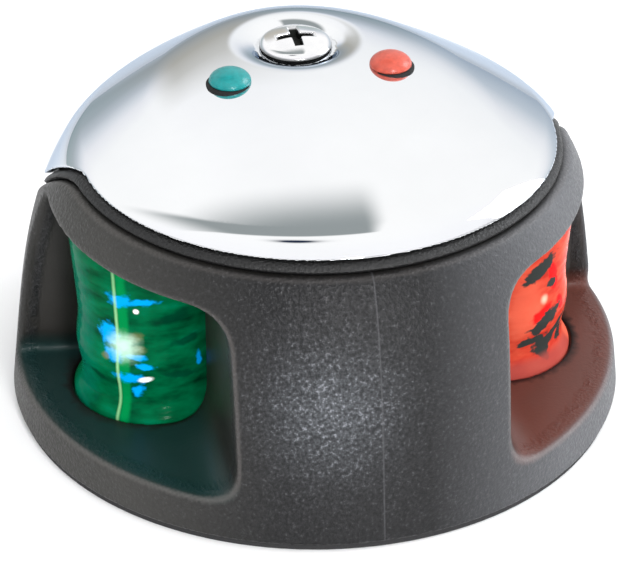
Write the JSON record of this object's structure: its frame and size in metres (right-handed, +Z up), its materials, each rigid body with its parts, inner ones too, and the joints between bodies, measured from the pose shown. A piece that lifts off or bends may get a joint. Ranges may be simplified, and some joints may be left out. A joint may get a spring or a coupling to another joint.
{
  "type": "navigation light",
  "caption": "Round deck-mount bow light: textured black body, green and red lens windows, chrome dome cover held by one screw, tell-tales on top.",
  "frame": {"origin": "centre of the round foot, on the deck plane", "axes": "+Z up from the deck; -Y towards the bow; -X starboard (green lens), +X port (red lens)"},
  "size_m": [0.0798, 0.0798, 0.0453],
  "materials": {
    "gasket_foam": "closed-cell foam",
    "base_plastic": "moulded, fine grain",
    "black_rubber": "smooth matte",
    "small_screws": "zinc plated",
    "housing_plastic": "coarse spark-eroded texture outside, smoother in the windows",
    "seal_plastic": "coarse texture",
    "brass": "turned",
    "green_lens": "clear tinted, polished, ribbed inside",
    "red_lens": "clear tinted, polished, ribbed inside",
    "baffle_white": "satin",
    "heat_sink_aluminium": "extruded",
    "led_board_white": "solder mask",
    "green_led": "lit",
    "red_led": "lit",
    "wire_insulation": "extruded",
    "circuit_board": "solder mask with copper tracks",
    "terminal_blue": "moulded",
    "chip_black": "moulded",
    "capacitor_can": "drawn can",
    "ferrite": "sintered",
    "chrome_cover": "polished",
    "green_telltale": "translucent",
    "red_telltale": "translucent",
    "screw_chrome": "polished"
  },
  "bodies": {
    "base": {"deck_gasket": "gasket_foam", "base_plate": "base_plastic", "base_seal": "black_rubber", "base_plate_screws": "small_screws", "wire_grommet": "black_rubber", "housing": "housing_plastic", "threaded_insert": "brass", "cover_seal": "seal_plastic", "green_lens": "green_lens", "red_lens": "red_lens", "green_lens_lower_seal": "black_rubber", "red_lens_lower_seal": "black_rubber", "green_lens_upper_seal": "black_rubber", "red_lens_upper_seal": "black_rubber", "green_baffle": "baffle_white", "red_baffle": "baffle_white", "green_heat_sink": "heat_sink_aluminium", "red_heat_sink": "heat_sink_aluminium", "green_led_board": "led_board_white", "red_led_board": "led_board_white", "green_led": "green_led", "red_led": "red_led", "jumper_wires": "wire_insulation", "driver_board": "circuit_board", "board_screws": "small_screws", "wire_terminal": "terminal_blue", "bridge_rectifier": "chip_black", "driver_chip": "chip_black", "capacitor": "capacitor_can", "inductor": "ferrite", "chip_resistors": "chip_black", "green_indicator_led": "green_led", "red_indicator_led": "red_led"},
    "cover": {"top_cover": "chrome_cover", "green_telltale": "green_telltale", "red_telltale": "red_telltale", "telltale_grommets": "black_rubber"},
    "washer": {"screw_washer": "black_rubber"},
    "screw": {"cover_screw": "screw_chrome"}
  },
  "joints": [
    {"name": "cover_lift", "type": "slide", "parent": "base", "child": "cover", "axis": [0, 0, 1], "range_m": [0, 0.05]},
    {"name": "screw_rise", "type": "slide", "parent": "cover", "child": "washer", "axis": [0, 0, 1], "range_m": [0, 0.0077]},
    {"name": "screw_turn", "type": "hinge", "parent": "washer", "child": "screw", "pos_m": [0, 0.0117, 0.04], "axis": [0, 0, 1], "range_deg": [0, 3961]}
  ],
  "couplings": [
    {"joint": "screw_turn", "follows": "screw_rise", "rad_per_m": 8976}
  ]
}
